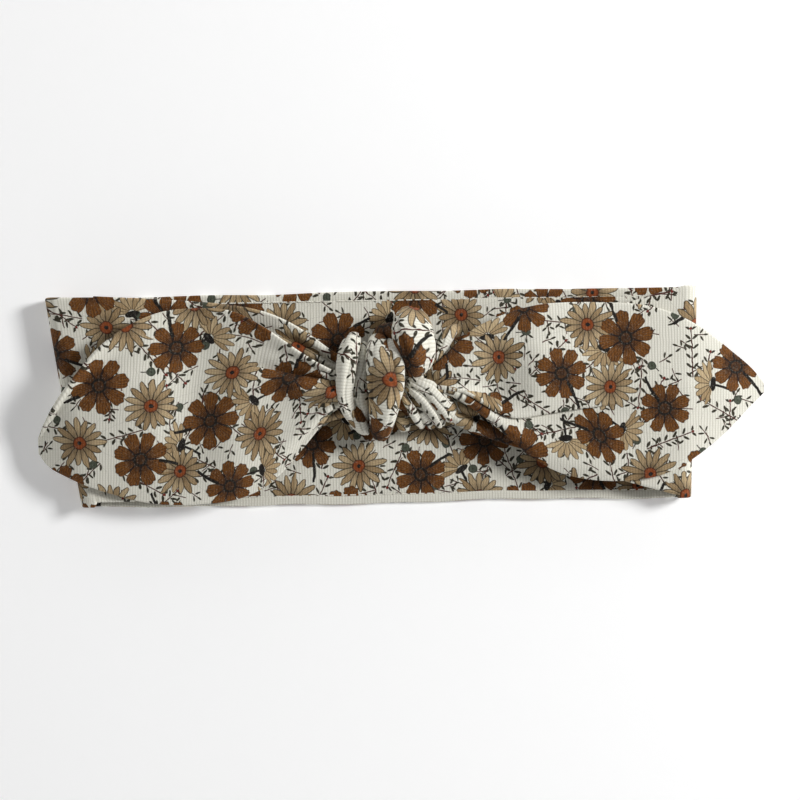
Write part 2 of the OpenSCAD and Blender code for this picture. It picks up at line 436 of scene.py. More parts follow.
class Skin:
    """A sheet over guide lines on one side of the knot. rest gives the height it lies on, and
    along the flat distance of a point along the strip."""

    def __init__(self, side, guides, places, rest, along, gathers=0, puff=0.0):
        self.side = side
        self.guides = [np.array(g, float) for g in guides]
        self.places = places
        self.rest = rest
        self.along = along
        self.gathers = gathers
        self.puff = puff

    def x(self, d):
        """The place along the band at a distance d from the knot."""
        return BASE[self.side] + away[self.side] * np.asarray(d, float)

    def plan(self, d, w):
        """The place across and the lift, at distances d and places w across the cloth."""
        lines = np.stack([through(g[:, 0], g[:, 1:], d) for g in self.guides])
        return np.swapaxes(through(self.places, lines, w), 0, 1)

    def points(self, d, w):
        """Points of the middle surface, one row for each d and one column for each w."""
        plan = self.plan(d, w)
        x = np.broadcast_to(self.x(d)[:, None], plan.shape[:2])
        y = plan[..., 0]
        near = np.exp(-np.maximum(d, 0) / GATHER_REACH)[:, None]
        phase = math.tau * self.gathers * w[None] + GATHER_DRIFT * np.asarray(d)[:, None]
        fine = GATHER_HEIGHT * near * np.cos(phase) * (self.gathers > 0)
        round_over = self.puff * np.sqrt(np.clip(np.sin(math.pi * w), 0, 1))[None]
        tip = np.clip((self.guides[0][-1, 0] - d) / TIP, 0, 1)[:, None]
        dive = TUCK_DEPTH * (1 - fade(*TUCK, d))[:, None] * (self.puff > 0)
        lift = plan[..., 1] + fine + round_over * tip - dive
        return np.stack([x, y, self.rest(x, y) + lift], axis=-1)

    def lying(self, d, w):
        """The flat places: along the strip, and the length of cloth across."""
        fine = np.linspace(0, 1, 241)
        grid = self.points(d, fine)
        steps = np.linalg.norm(np.diff(grid, axis=1), axis=-1)
        length = np.concatenate([np.zeros((len(grid), 1)), np.cumsum(steps, axis=1)], axis=1)
        length += grid[:, [120], 1] - length[:, [120]]
        v = np.stack([np.interp(w, fine, row) for row in length])
        u = self.along(self.side, np.asarray(d, float)[:, None], v)
        return np.stack([away[self.side] * u, v], axis=-1)

    def normals(self, d, w):
        """The upward normals of the middle surface at the same points."""
        step = 0.004
        w0, w1 = np.clip(w - step, 0, 1), np.clip(w + step, 0, 1)
        across = self.points(d, w1) - self.points(d, w0)
        along = self.points(np.asarray(d) + 0.3, w) - self.points(np.asarray(d) - 0.3, w)
        normal = unit(np.cross(along, across))
        return normal * np.sign(normal[..., 2].sum() or 1)


def rolled_columns(w):
    """The places across and the heights of an outer ply whose edges roll to the underside."""
    roll, rim = ROLL / (2 * half_w), (roll_r + PLY / 2) / (2 * half_w)
    turn = np.radians(np.linspace(-90, 90, 7))
    lip = np.linspace(roll, rim, 4)[:-1]
    arc_w = rim - roll_r * np.cos(turn) / (2 * half_w)
    inner = w[(w > rim) & (w < 1 - rim)]
    place = np.concatenate([lip, arc_w, inner, 1 - arc_w[::-1], 1 - lip[::-1]])
    high = np.concatenate([np.full(3, -1.0), np.sin(turn), np.ones(len(inner)),
                           np.sin(turn[::-1]), np.full(3, -1.0)])
    return place, high * ply_mid


def two_plies(name, skin, d, w):
    """The outer ply on top, its rolled edges, and the lining inside them."""
    place, high = rolled_columns(w)
    grid = skin.points(d, place) + high[None, :, None] * skin.normals(d, place)
    outer = ply(f"{name}_outer_ply", grid, skin.lying(d, place))
    edge = (ROLL + 0.3) / (2 * half_w)
    inner = np.linspace(edge, 1 - edge, max(24, len(w) // 2))
    grid = skin.points(d, inner) - ply_mid * skin.normals(d, inner)
    lining = ply(f"{name}_lining_ply", grid, skin.lying(d, inner) + LINING_SHIFT)
    cloth[outer.name], cloth[lining.name] = outer, lining


print("the skins start from the knot at", BASE["left"], "and", BASE["right"], "mm")

# %% [markdown]
# ## The arms
# An arm leaves its fold as the full strip and narrows to a gathered neck. Only its edges show
# past the tails, so an even fan of pleats is enough: its guides are worked out between the two
# edge lines, and only those are drawn.

# %% Arms
ARM_LENGTH = {side: abs(line_x[side] - BASE[side]) for side in away}
ARM_EDGE_LINES = {
    "left": {
        "upper": [(-9, 9), (0, 13.5), (8, 19.5), (16, 24.4), (25, 27.4), (34, 29), (48, 30.4),
                  (60, 31.2), (72, 32)],
        "lower": [(-9, -4), (0, -6), (8, -9), (16, -13.5), (28, -20), (42, -26), (56, -29.4),
                  (72, -30)],
    },
    "right": {
        "upper": [(-9, 9), (0, 14), (12, 19), (28, 22.6), (44, 24.8), (56, 26.6), (64, 28.8),
                  (72, 31)],
        "lower": [(-9, -4), (0, -6), (14, -12), (30, -17.6), (46, -23), (58, -27), (65, -29.4),
                  (72, -31)],
    },
}
PLEAT_TOPS = (2.6, 2.0, 2.9, 2.4, 3.0, 2.2, 2.7)
PLEAT_REACH = (36, 44, 30, 54, 38, 50, 32)


def arm_guides(side):
    """Guides along the valleys and the tops of a fan of pleats, between the two edges."""
    edges = ARM_EDGE_LINES[side]
    stations = np.array([-9, 0, 6, 12, 20, 30, 42, 56, 72.0])
    ends = [through(*np.array(edges[e], float).T, stations) for e in ("lower", "upper")]
    count = 2 * len(PLEAT_TOPS) + 1
    guides = []
    for i in range(count):
        share = i / (count - 1)
        y = ends[0] + (ends[1] - ends[0]) * share
        if i % 2:
            top, far = PLEAT_TOPS[i // 2], PLEAT_REACH[i // 2]
            lift = top * np.clip(1 - stations / far, 0, 1.1) ** 1.4
        else:
            lift = 0 * stations
        if side == "left" and i == count - 1:
            lift = 2.4 * np.clip(1 - stations / 40, 0, 1)
        guides.append(np.stack([stations, y, lift], axis=-1))
    return guides


def on_the_back(x, y):
    """What an arm rests on."""
    return arm_z + top_soft(x, y)


def along_arm(side, d, y):
    """An arm goes on from its fold, and what slant the fold left in it dies out on the way."""
    level = turned(side, 0 * y)
    slant = (turned(side, y) - level) * fade(0, ARM_LENGTH[side], d)
    return level + slant + ARM_LENGTH[side] - d


# Where each arm ends, hidden under the knot. The real strip runs on into the knot. The right
# arm turns about its own end there, so it stops short, or that end would swing up through the
# root of the tail.
ARM_START = {"left": -9, "right": -2.5}
arm_skin = {}
for side in away:
    guides = arm_guides(side)
    across = np.linspace(0, 1, len(guides))
    arm_skin[side] = Skin(side, guides, across, on_the_back, along_arm)
    d = np.concatenate([np.linspace(ARM_START[side], 30, 40)[:-1],
                        np.linspace(30, ARM_LENGTH[side], 34)])
    two_plies(f"{side}_arm", arm_skin[side], d, np.linspace(0, 1, 121))
print("with the arms:", len(cloth))

# %% [markdown]
# ## What the tails rest on
# A tail lies over its arm, spans the hollow beside it and sinks a little where nothing is under
# it. A height map of the cloth below gives that: every high place holds up the cloth around it,
# on a gentle slope, and the result is softened, because knit doesn't follow every small step.

# %% The drape map
CELL = 1.5
MAP_X, MAP_Y = np.arange(-126, 127, CELL), np.arange(-60, 61, CELL)
SAG = 0.28
SPAN_CELLS = 18
CLEAR = 0.25


def read_map(table, x, y):
    """Bilinear reading of a height map."""
    fx = np.clip((x - MAP_X[0]) / CELL, 0, len(MAP_X) - 1.001)
    fy = np.clip((y - MAP_Y[0]) / CELL, 0, len(MAP_Y) - 1.001)
    i, j = fx.astype(int), fy.astype(int)
    a, b = fx - i, fy - j
    low = table[i, j] * (1 - a) + table[i + 1, j] * a
    high = table[i, j + 1] * (1 - a) + table[i + 1, j + 1] * a
    return low * (1 - b) + high * b


def drape_map():
    """The height of the cloth below the tails, spread out on a slope from every high place."""
    xx, yy = np.meshgrid(MAP_X, MAP_Y, indexing="ij")
    table = np.where((abs(yy) < half_w) & (xx > fold_l) & (xx < fold_r), strip_t + 0.4, 0.0)
    for name, piece in cloth.items():
        if "_arm_" in name or "_fold_" in name:
            verts = np.empty(3 * len(piece.data.vertices), np.float32)
            piece.data.vertices.foreach_get("co", verts)
            verts = verts.reshape(-1, 3) / MM
            i = np.round((verts[:, 0] - MAP_X[0]) / CELL).astype(int)
            j = np.round((verts[:, 1] - MAP_Y[0]) / CELL).astype(int)
            np.maximum.at(table, (i, j), verts[:, 2])
    best = table.copy()
    for i in range(-SPAN_CELLS, SPAN_CELLS + 1):
        for j in range(-SPAN_CELLS, SPAN_CELLS + 1):
            drop = SAG * CELL * math.hypot(i, j)
            best = np.maximum(best, np.roll(table, (i, j), (0, 1)) - drop)
    soft_map = best
    for axis in (0, 1, 0, 1, 0, 1):
        near = np.roll(soft_map, 1, axis) + np.roll(soft_map, -1, axis)
        soft_map = (soft_map * 2 + near) / 4
    return np.maximum(soft_map, table)


rest_map = drape_map()
for axis in (0, 1):
    rest_map = (2 * rest_map + np.roll(rest_map, 1, axis) + np.roll(rest_map, -1, axis)) / 4


def on_the_arms(x, y):
    """What a tail rests on."""
    return read_map(rest_map, x, y) + strip_t / 2 + CLEAR


print(f"the tails rest at up to {rest_map.max():.1f} mm")

# %% [markdown]
# ## The tails
# The left tail is broad. Its upper edge is a raised ridge near the knot, a deep crease runs
# below that, and a bright rolled flap overhangs the crease. The right tail folds over itself:
# its upper flap ends in a free-looking hem that lies on its lower flap and dies away outwards.
# Here every fold shows, so every guide is drawn one by one, as (distance, place across, height).

# %% Guides of the left tail
LEFT_TAIL = [
    # the lower edge
    [(-9, -3.4, .6), (0, -3, .6), (4, -7.2, .3), (8.6, -12.8, 0), (14, -19.2, 0), (20, -25, 0),
     (29, -29.4, 0), (42, -31, .1), (56, -30.3, .3), (70, -26.4, .5), (81, -21.8, .6),
     (87, -18, .5), (89.3, -14.6, .3)],
    # the broad lower body
    [(-9, -2.6, 1.4), (0, -2, 1.5), (8.6, -6.6, 1), (20, -14, .8), (30, -17, 1.8), (42, -18.5, 0),
     (56, -18, 1.6), (70, -16.4, 1.4), (81, -14.4, .8), (89.3, -13.6, .3)],
    # the foot of the rolled flap
    [(-9, -1.4, .8), (0, -1.2, .7), (6, -1.3, .6), (16, .6, .4), (30, -5, 1.8), (42, -7.5, 0),
     (56, -7.5, 2.6), (70, -7.6, 2.2), (81, -8.6, 1.2), (89.3, -12.7, .3)],
    # the top of the rolled flap
    [(-9, .8, 3), (0, 1.5, 3.3), (10, 3.8, 3.2), (20, 5.6, 2.4), (30, 3.4, 2.2), (42, 2, 0),
     (56, 2, 3), (70, -.2, 2.6), (81, -4, 1.5), (89.3, -12.2, .3)],
    # its overhang
    [(-9, 3.6, 1.4), (0, 4.6, 1.4), (10, 6.2, 1.3), (20, 8.4, 1), (30, 9.4, 1.3), (42, 7, 0),
     (56, 6, 3), (70, 2.6, 2.9), (81, -2.6, 1.8), (89.3, -11.9, .3)],
    # the bottom of the crease
    [(-9, 3.4, .1), (0, 4.1, .1), (10, 5.8, 0), (20, 8.2, 0), (30, 11.4, .9), (42, 10.4, 0),
     (56, 9, 3), (70, 5, 3.2), (81, -1.2, 2), (89.3, -11.6, .4)],
    # the slope above it
    [(-9, 5, 1.6), (0, 6, 1.8), (10, 10.4, 1.4), (20, 14.4, 1.2), (30, 19, 1.4), (42, 19, .2),
     (56, 17, 3), (70, 10.4, 3), (81, .8, 3), (89.3, -11.1, .4)],
    # the raised upper edge
    [(-9, 6.6, 3.2), (0, 8, 3.4), (4, 10, 3.5), (10, 13.8, 3.6), (20, 21, 3.4), (30, 26.4, 2.6),
     (42, 27.6, 2.2), (52, 26.4, 3.4), (62, 21.8, 5.4), (70, 15.6, 6.4), (77, 7.4, 6),
     (84, -1.6, 4.4), (87.6, -7, 2), (89.3, -10.6, .5)],
]
LEFT_PLACES = [0, .21, .39, .54, .63, .70, .85, 1]

# %% Guides of the right tail
RIGHT_TAIL = [
    # the lower edge
    [(-2, 2, .6), (5, .4, .8), (10, -2.6, 1), (15, -6.3, 1.1), (20, -10.8, 1.1), (25, -15.3, .9),
     (30, -19.4, .7), (36, -23, .4), (43, -25.2, .2), (52, -26.3, .1), (61, -26, .1),
     (69, -24.2, .3), (78, -19.2, .4), (88, -11.2, .4), (95, -4.2, .3), (99.2, -.4, .2)],
    # the lower flap's rounded body
    [(-2, 2.3, 1.2), (5, 1.1, 1.5), (10, -1.4, 1.8), (20, -8.4, 1.7), (30, -14, 1), (42, -15.6, .4),
     (55, -15, .3), (70, -12.6, .5), (85, -7.6, .7), (99.2, .1, .3)],
    # where it runs under the upper flap
    [(-2, 2.6, .4), (5, 1.9, .4), (10, 1, .4), (16, -1.2, .3), (24, -3.4, .1), (34, -3, 0),
     (46, -2.6, 0), (58, -6.2, .1), (70, -6.4, .5), (85, -4, .8), (99.2, .3, .3)],
    # the turn, deep under the hem
    [(-2, 3, .7), (5, 2.6, .8), (10, 1.8, .9), (16, -.8, .9), (24, -3, .8), (34, -2.7, .7),
     (46, -2.6, .5), (58, -3.6, .3), (70, -3, .6), (85, -2, .9), (99.2, .5, .3)],
    # the hem that lies on the lower flap
    [(-2, 2.8, 1.8), (5, 1.9, 2.2), (10, .4, 2.4), (15, -2.9, 2.3), (20, -5.8, 2.1), (25, -6.5, 2),
     (30, -5.8, 1.8), (38, -4.6, 1.5), (48, -3.3, 1.1), (58, -1.9, .6), (70, 0, .8), (85, 0, 1),
     (99.2, .7, .3)],
    # the hollow above the hem
    [(-2, 3.6, 1), (5, 3.6, 1.1), (10, 3.4, .6), (15, 2.2, -.2), (19, 1.6, 0), (24, 1.8, 1.8),
     (30, 2.4, 4), (36, 3.4, 4), (44, 4, 2.8), (52, 4.4, 1.6), (70, 5.4, .8), (85, 3, 1),
     (99.2, 1, .3)],
    # the body of the upper flap
    [(-2, 5, 1.2), (5, 7.4, 2), (12, 9.6, 2.2), (18, 10.6, 1.8), (24, 11.4, 3.4), (30, 12, 5),
     (38, 13, 4.4), (46, 14, 2.8), (56, 14.6, 1.3),
     (70, 13, .8), (85, 7, 1), (99.2, 1.3, .3)],
    # the upper edge
    [(-2, 7.6, 1), (2, 10.6, 1.1), (6, 14.8, 1.4), (11, 19.2, 2), (17, 22.4, 2.6), (23, 24.7, 2.8),
     (31, 26.7, 2.4), (41, 27.3, 1.8), (51, 27, 1.3), (61, 26.3, 1), (70, 24, .9), (80, 18.8, .9),
     (89, 11.8, .8), (95.6, 6.2, .5), (99.2, 1.9, .3)],
]
RIGHT_PLACES = [0, .19, .36, .40, .46, .58, .78, 1]

# %% Tails
def along_tail(side, d, y):
    """The left tail hangs a little askew from the knot, so its ribs lean there."""
    lean = 0.45 * y * np.exp(-d / 30) * (side == "left")
    return d + lean


tail_skin = {
    "left": Skin("left", LEFT_TAIL, LEFT_PLACES, on_the_arms, along_tail, 6, 1.3),
    "right": Skin("right", RIGHT_TAIL, RIGHT_PLACES, on_the_arms, along_tail, 5, 1.0),
}
for side, skin in tail_skin.items():
    first, last = skin.guides[0][0, 0], skin.guides[0][-1, 0]
    ease = np.linspace(0, 1, 111)
    d = first + (last - first) * (ease + 0.9 * ease * (1 - ease) * (ease - 0.45))
    two_plies(f"{side}_tail", skin, d, np.linspace(0, 1, 161))
print("with the tails:", len(cloth))

# %% [markdown]
# ## The knot
# A knot in soft knit is a few fat rolls of gathered strip, squeezed against each other. The
# whole strip could be led through a true knot, but then one fold can't be moved without all the
# others. So each roll is a closed form of its own, swept along its own path, with both ends
# tucked in where the next roll covers them. Grooves along a roll are the pleats that the
# gathered strip keeps.

# %% Rolls of gathered strip
HEART = np.array([-3.0, 5.0, 3.0])
ROLL_ROWS, ROLL_SIDES = 60, 72
SQUARENESS = 2.4
CREASE = 0.3
PRINT_TILT = math.radians(27)
REPEAT = 24.0
FLOWER, BARE = (12, 12), (12, 0)


def cut_place(spot, seed):
    """A place on the flat cloth, by its spot in the print's repeat. The seed picks the repeat, so
    each roll is cut from another stretch of the knit."""
    a, b = spot[0] + REPEAT * (3 * seed % 11 - 5), spot[1] + REPEAT * (5 * seed % 13 - 6)
    c, s = math.cos(PRINT_TILT), math.sin(PRINT_TILT)
    return np.array([a * c - b * s, a * s + b * c])


def roll(name, path, wide, high, grooves=0, depth=0.05, seed=0, lean=0.0, spot=BARE, middle=0.5):
    """A closed roll along a path. wide and high are its half sizes along the way, and spot is
    what part of the print lies on top at its middle."""
    stations = np.linspace(0, 1, len(path))
    t = np.linspace(0, 1, ROLL_ROWS)
    line = through(stations, path, t)
    tangent = unit(np.gradient(line, axis=0))
    out = line - HEART
    out = unit(out - tangent * (out * tangent).sum(axis=-1, keepdims=True))
    across = np.cross(tangent, out)
    turn = math.radians(lean)
    out, across = (out * math.cos(turn) + across * math.sin(turn),
                   across * math.cos(turn) - out * math.sin(turn))
    cap = (1 - np.abs(2 * t - 1) ** 7) ** 0.5
    cap = np.maximum(cap, 0.06)
    a = through(np.linspace(0, 1, len(wide)), wide, t) * cap
    b = through(np.linspace(0, 1, len(high)), high, t) * cap
    angle = np.linspace(-90, 270, ROLL_SIDES, endpoint=False)
    c, s = np.cos(np.radians(angle)), np.sin(np.radians(angle))
    power = 2 / SQUARENESS
    c = np.sign(c) * np.abs(c) ** power
    s = np.sign(s) * np.abs(s) ** power
    random = np.random.default_rng(seed)
    phase = random.uniform(0, 6.28, 3)
    turns = np.radians(angle)[None]
    drift = 0.5 * np.sin(3 * t[:, None] + phase[0])
    crease = np.exp(-(np.sin(grooves * (turns + drift) / 2) / CREASE) ** 2)
    form = 1 - depth * crease * (grooves > 0)
    form = form + 0.035 * np.sin(2 * turns + 5 * t[:, None] + phase[1])
    form = form + 0.018 * np.sin(5 * turns - 9 * t[:, None] + phase[2])
    ring = across[:, None] * (a[:, None] * c * form)[..., None]
    ring = ring + out[:, None] * (b[:, None] * s * form)[..., None]
    rings = line[:, None] + ring
    u = np.concatenate([[0], np.cumsum(np.linalg.norm(np.diff(line, axis=0), axis=-1))])
    girth = np.linalg.norm(np.diff(rings, axis=1, append=rings[:, :1]), axis=-1)
    v = np.cumsum(girth.mean(axis=0))
    flat = np.stack(np.broadcast_arrays(u[:, None], v[None]), axis=-1)
    flat = flat + cut_place(spot, seed) - flat[round(middle * ROLL_ROWS), ROLL_SIDES // 2]
    cloth[name] = build(name, rings, flat)


# %% The knot's rolls
roll("knot_heart", [(-17, 4, 6), (-8, 5, 8.5), (3, 4, 8.5), (15, 5, 6)],
     (6, 10, 9.5, 6), (3, 4.8, 4.8, 3), grooves=9, depth=0.08, seed=1)
roll("centre_wrap", [(-7, 18.6, 6), (-6.8, 16.2, 12), (-6.4, 12, 15.4), (-5.6, 6, 16.6),
                     (-5.2, 0, 15.8), (-5.9, -6, 13), (-6.5, -10.4, 8), (-6, -9.5, 4)],
     (2, 3.2, 4.1, 4.8, 4.9, 4.2, 3, 2), (2, 2.8, 3.6, 4.1, 4.1, 3.6, 2.8, 2),
     grooves=5, depth=0.09, seed=17, spot=(-1.4, -2.7), middle=0.45)
roll("centre_wrap_lip", [(-4.4, 17.2, 10), (-2.8, 14.6, 15), (-1.2, 10.8, 17), (-.9, 6, 17.6),
                         (-1.2, 1.6, 16.4), (-2.4, -3, 13)],
     (1.6, 2, 2.1, 1.9, 1.7, 1.2), (1.5, 2, 2.2, 2.1, 1.9, 1.4), seed=3, lean=10, spot=(3, 3))
roll("left_wrap", [(-13.6, 18.2, 5), (-14.6, 16.8, 11), (-15.8, 12, 14.6), (-16.6, 6, 15.4),
                   (-16.9, 1, 14.6), (-15.8, -3.6, 12.4), (-13.4, -7.6, 9), (-11.6, -10, 5)],
     (2.4, 3, 3, 2.4, 1.8, 1.8, 1.9, 1.4), (2, 2.6, 3, 3, 2.6, 2.4, 2, 1.4),
     grooves=4, depth=0.16, seed=4, spot=(8.4, 4.9))
roll("left_wrap_inner", [(-10.8, 16.6, 6.6), (-11.2, 12.4, 11.2), (-11.9, 7, 12.8),
                         (-12.4, 2, 12.4), (-11.8, -2.6, 10.6), (-10.6, -7, 7)],
     (1.4, 2, 2.4, 2.6, 2.5, 2), (2, 2.4, 2.6, 2.6, 2.4, 1.6), grooves=5, depth=0.14, seed=5)
roll("left_wrap_foot", [(-15, 0, 10), (-14.4, -4.4, 10.6), (-12.6, -8.4, 8.6), (-10.6, -10.6, 6)],
     (2.2, 3, 3, 2), (2, 2.2, 2, 1.4), grooves=5, depth=0.14, seed=15)
roll("upper_bight", [(3.4, 26, 5), (3.4, 23.4, 10.6), (3.6, 19, 14.6), (4.8, 14, 16),
                     (4.8, 9.6, 14.8), (3, 6.4, 11.4)],
     (3.4, 5, 6.7, 6.1, 4.6, 2.4), (2, 3.4, 3.9, 4.1, 3.6, 2.4),
     grooves=5, depth=0.09, seed=6, spot=(8.9, 21.4))
roll("upper_bight_back", [(-7, 19.6, 6), (-4.4, 20, 10), (-1, 19.6, 12.6), (3, 18, 14)],
     (1.6, 2.4, 2.8, 2.6), (1.6, 2.2, 2.6, 2.6), seed=7, spot=FLOWER)
roll("root_tube", [(7.2, 7, 8.4), (9.6, 10.6, 11.4), (12, 14.8, 12.4), (14.6, 18.6, 12),
                   (17.6, 20.9, 10)],
     (1.2, 1.7, 1.9, 2.1, 1.6), (1.4, 1.8, 2, 2, 1.5), grooves=3, depth=0.14, seed=8)
roll("root_tube_under", [(6.4, 4.6, 9), (9.8, 8.8, 10.6), (13.4, 13, 11), (17, 16.6, 10)],
     (1, 1.4, 1.5, 1.2), (1.2, 1.5, 1.6, 1.2), seed=9)
roll("fan_top_pleat", [(1, 4.9, 11.4), (4, 3.9, 14), (7.6, 2.2, 14), (11, -1, 12.6),
                       (14, -4.6, 9.8), (15.6, -7, 6.6)],
     (1.2, 2, 2.8, 3.2, 3.2, 2.4), (1.6, 2.2, 2.6, 2.6, 2.3, 1.5), grooves=8, depth=0.16, seed=10)
roll("fan_low_pleat", [(.8, 3.4, 11), (3.2, 1.6, 13.6), (6, -1, 13.4), (8.8, -4.4, 11.4),
                       (11, -7.4, 8), (11.8, -8.4, 5.6)],
     (.9, 1.3, 1.6, 1.8, 1.9, 1.4), (1.6, 2.1, 2.3, 2.3, 2, 1.4), grooves=5, depth=0.16, seed=16)
roll("fan_first_pleat", [(0, 1.4, 12), (1.4, -1.4, 13.4), (3.4, -4.8, 11.6), (5.4, -8, 7.6),
                         (5.8, -8.6, 5)],
     (.9, 1.2, 1.5, 1.4, .9), (1.4, 1.8, 1.8, 1.6, 1), grooves=3, depth=0.12, seed=11)
roll("fan_second_pleat", [(2.2, .4, 11), (4.4, -2.6, 11.8), (6.6, -5.8, 10.2), (8.4, -8.4, 7),
                          (8.8, -9, 5)],
     (.8, 1.1, 1.3, 1.2, .8), (1.2, 1.5, 1.6, 1.4, 1), seed=12)
roll("fan_small_pleat", [(-1.6, -3, 8.6), (-.6, -6, 9), (.4, -8.6, 7.2), (.8, -9.8, 5)],
     (1, 1.7, 1.9, 1.2), (1.2, 1.7, 1.7, 1.2),
     grooves=3, depth=0.08, seed=13, spot=(2, 3))
roll("fan_ridge", [(1.6, 5.4, 12.6), (4.2, 6.2, 13), (7, 5.4, 11.6), (10, 4, 9.6)],
     (.7, 1, 1, .8), (.9, 1.2, 1.2, .9), seed=14)
KNOT = [name for name in cloth if not name.endswith("_ply")]
print("rolls in the knot:", len(KNOT))

# %% [markdown]
# ## Writing finishes as sums
# A shader is a net of small nodes. `Wire` wraps one socket so that ordinary Python arithmetic
# adds the Math nodes, and `Net.node` makes any other node from its type, its settings and the
# values of its sockets.

# %% Wires and nets


class Wire:
    """An output socket that can be used in a sum."""

    def __init__(self, net, socket):
        self.net = net
        self.socket = socket

    def out(self, name):
        """Another output of the same node."""
        return Wire(self.net, self.socket.node.outputs[name])

    def __add__(self, other):
        return self.net.maths("ADD", self, other)

    def __radd__(self, other):
        return self.net.maths("ADD", other, self)

    def __sub__(self, other):
        return self.net.maths("SUBTRACT", self, other)

    def __rsub__(self, other):
        return self.net.maths("SUBTRACT", other, self)

    def __mul__(self, other):
        return self.net.maths("MULTIPLY", self, other)

    def __rmul__(self, other):
        return self.net.maths("MULTIPLY", other, self)

    def __truediv__(self, other):
        return self.net.maths("DIVIDE", self, other)

    def __pow__(self, other):
        return self.net.maths("POWER", self, other)

    def __abs__(self):
        return self.net.maths("ABSOLUTE", self)

    def __lt__(self, other):
        return self.net.maths("LESS_THAN", self, other)

    def __gt__(self, other):
        return self.net.maths("GREATER_THAN", self, other)


class Net:
    """The node net of one material."""

    def __init__(self, name):
        self.material = bpy.data.materials.new(name)
        self.material.use_nodes = True
        self.tree = self.material.node_tree
        self.shader = self.tree.nodes["Principled BSDF"]

    def feed(self, socket, value):
        """Links a wire to a socket, or sets the socket to a plain value."""
        if isinstance(value, Wire):
            self.tree.links.new(value.socket, socket)
        else:
            socket.default_value = value

    def node(self, kind, settings=None, sockets=None, out=0):
        """A node of any type, as the wire from one of its outputs."""
        node = self.tree.nodes.new("ShaderNode" + kind)
        for name, value in (settings or {}).items():
            setattr(node, name, value)
        for name, value in (sockets or {}).items():
            self.feed(node.inputs[name], value)
        return Wire(self, node.outputs[out])

    def maths(self, operation, *values):
        return self.node("Math", {"operation": operation}, dict(enumerate(values)))

    def smooth(self, x, low, high):
        """0 below low, 1 above high."""
        sockets = {"Value": x, "From Min": low, "From Max": high}
        return self.node("MapRange", {"interpolation_type": "SMOOTHSTEP"}, sockets)

    def mix(self, first, second, share):
        """The first colour where share is 0 and the second where it is 1."""
        sockets = {0: share, 6: first, 7: second}
        return self.node("Mix", {"data_type": "RGBA"}, sockets, out=2)

    def point(self, x, y, z=0.0):
        return self.node("CombineXYZ", None, {0: x, 1: y, 2: z})

    def dice(self, x, y, seed):
        """Three random numbers for a cell."""
        point = self.point(x, y, float(seed))
        noise = self.node("TexWhiteNoise", {"noise_dimensions": "3D"}, {"Vector": point}, out="Color")
        split = self.node("SeparateColor", None, {"Color": noise})
        return split, split.out("Green"), split.out("Blue")

    def grain(self, place, scale, detail=3.0):
        sockets = {"Vector": place, "Scale": scale, "Detail": detail}
        return self.node("TexNoise", None, sockets, out="Fac")

    def finish(self, **sockets):
        """Sets or links the shader's own sockets, and hands back the material."""
        for name, value in sockets.items():
            self.feed(self.shader.inputs[name.replace("_", " ").title()], value)
        return self.material


def ink(red, green, blue):
    """A screen colour, 0 to 255, as the linear colour that a shader uses."""
    return tuple((c / 255) ** 2.2 for c in (red, green, blue)) + (1.0,)


# %% [markdown]
# ## The print
# A printed knit repeats a few motifs. Each motif has its own lattice on the flat cloth, with a
# random shift, turn and presence in every cell, so nothing lines up. A motif is drawn from its
# own centre in polar form: a flower is a radius that changes with the angle, and its petals,
# lines and centre are masks on top of each other.

# %% Lattices and petals


def lattice(net, u, v, cell, offset, seed, shift, scale):
    """A motif's own x and y in each cell, and two more random numbers for it."""
    a, b = u / cell + offset[0], v / cell + offset[1]
    col, row = net.maths("FLOOR", a), net.maths("FLOOR", b)
    r, g, turn = net.dice(col, row, seed)
    x = (a - col - 0.5 - (r - 0.5) * shift) * cell
    y = (b - row - 0.5 - (g - 0.5) * shift) * cell
    c, s = net.maths("COSINE", turn * 6.283), net.maths("SINE", turn * 6.283)
    pick, size, _ = net.dice(col, row, seed + 7)
    x, y = x / scale, y / scale
    return x * c + y * s, y * c - x * s, pick, size


def polar(net, x, y, petals):
    """Radius, the number of the petal and the place across it, from -0.5 to 0.5."""
    r = net.maths("SQRT", x * x + y * y)
    a = net.maths("ARCTAN2", x, y) * (petals / math.tau) + 40.0
    number = net.maths("FLOOR", a)
    return r, number, a - number - 0.5


BROWN, DARK_BROWN, LINE = ink(120, 74, 24), ink(40, 20, 8), ink(20, 13, 8)
TAN, PALE_TAN, ORANGE = ink(156, 130, 94), ink(196, 173, 136), ink(132, 65, 26)
LEAF, SPRIG, BERRY, MOSS = ink(52, 48, 36), ink(74, 36, 30), ink(110, 36, 28), ink(74, 80, 68)
IVORY = ink(230, 228, 216)
print("ivory as a shader sees it:", [round(c, 2) for c in IVORY[:3]])

# %% [markdown]
# ## The motifs
# There are two big flowers, one daisy seen from the side, a long sprig, a twig and a bud. Each
# could be a painted image, but a formula stays sharp at any distance. Every motif takes the
# same values, though only the full flower uses size.

# %% Motifs


def stalk(net, x, y, start, end, half):
    """A straight stem that points away from the motif's head."""
    inside = net.smooth(half - abs(x + 0.02 * y * y), -0.05, 0.12)
    return inside * (y < -1 * start) * (y > -end)


